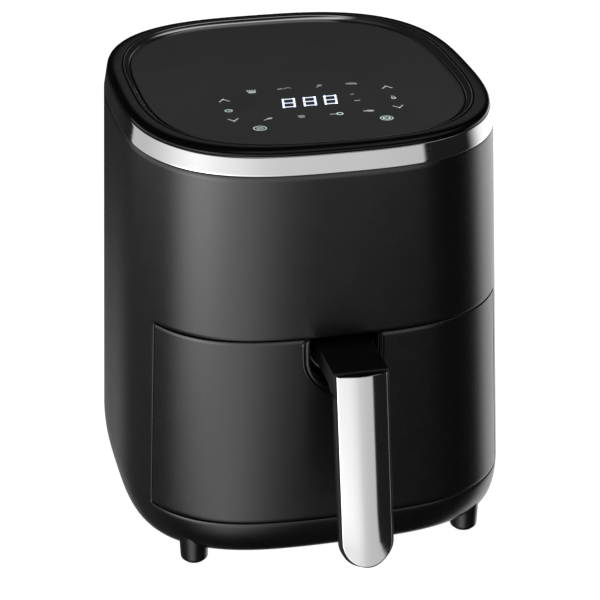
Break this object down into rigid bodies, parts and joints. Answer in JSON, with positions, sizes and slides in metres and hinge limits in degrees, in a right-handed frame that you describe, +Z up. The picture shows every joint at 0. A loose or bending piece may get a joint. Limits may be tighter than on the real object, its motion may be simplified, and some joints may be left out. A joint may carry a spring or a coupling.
{
  "type": "air fryer",
  "caption": "Upright countertop air fryer with a slide-out drawer and pan, a vertical chrome-faced handle, a glass touch top and a chrome band.",
  "frame": {"origin": "centre of the outer box at the table surface", "axes": "+Z up, the drawer opens towards -Y, +X to the right of someone who faces the drawer"},
  "size_m": [0.2648, 0.3564, 0.301],
  "materials": {
    "body_plastic": "satin black moulded plastic",
    "gloss_plastic": "gloss black moulded plastic",
    "chrome": "bright chrome plating",
    "panel_glass": "black back-printed touch glass",
    "inner_plastic": "plain dark moulded plastic",
    "rubber": "soft black rubber",
    "sheet_metal": "plain zinc-coated sheet",
    "screw_steel": "plated steel",
    "non_stick": "dark non-stick coating",
    "element": "heat-stained steel tube",
    "lamination": "varnished steel laminations",
    "winding": "enamelled copper wire",
    "bronze": "sintered bronze",
    "circuit_board": "green solder mask",
    "display": "white display block with lit digits",
    "components": "moulded electronic parts"
  },
  "bodies": {
    "root": {"outer_housing": "body_plastic", "base_plate": "inner_plastic", "foot_front_left": "body_plastic", "foot_front_right": "body_plastic", "foot_rear_left": "body_plastic", "foot_rear_right": "body_plastic", "foot_pads": "rubber", "foot_screws": "screw_steel", "base_screws": "screw_steel", "chrome_band": "chrome", "top_tray": "inner_plastic", "top_rim": "gloss_plastic", "panel_bezel": "chrome", "touch_panel": "panel_glass", "control_board": "circuit_board", "display_module": "display", "touch_springs": "screw_steel", "drawer_bay": "inner_plastic", "runner_left": "inner_plastic", "runner_right": "inner_plastic", "chamber_liner": "sheet_metal", "heating_element": "element", "heater_brackets": "sheet_metal", "heater_guard": "sheet_metal", "air_duct": "inner_plastic", "motor_bracket": "sheet_metal", "motor_stator": "lamination", "motor_coil": "winding", "motor_end_plates": "sheet_metal", "motor_bearings": "bronze", "thermal_cutout": "components", "temperature_sensor": "bronze", "drawer_switch": "components", "power_board": "circuit_board", "power_parts": "components", "rear_vent": "body_plastic", "cord_gland": "rubber"},
    "fan": {"motor_rotor": "lamination", "motor_shaft": "screw_steel", "hot_air_fan": "sheet_metal", "cooling_fan": "inner_plastic"},
    "drawer": {"drawer_front": "body_plastic", "drawer_inner_panel": "inner_plastic", "recess_trim": "gloss_plastic", "handle_bracket": "sheet_metal", "handle_body": "gloss_plastic", "handle_cover": "chrome", "handle_screws": "screw_steel", "pan": "non_stick"},
    "plate": {"crisper_plate": "non_stick", "plate_bumpers": "rubber"}
  },
  "joints": [
    {"name": "drawer_slide", "type": "slide", "parent": "root", "child": "drawer", "axis": [0, -1, 0], "range_m": [0, 0.225]},
    {"name": "plate_lift", "type": "slide", "parent": "drawer", "child": "plate", "axis": [0, 0, 1], "range_m": [0, 0.095]},
    {"name": "fan_spin", "type": "hinge", "parent": "root", "child": "fan", "pos_m": [0, 0.04431, 0.21], "axis": [0, 0, 1], "continuous": true}
  ]
}
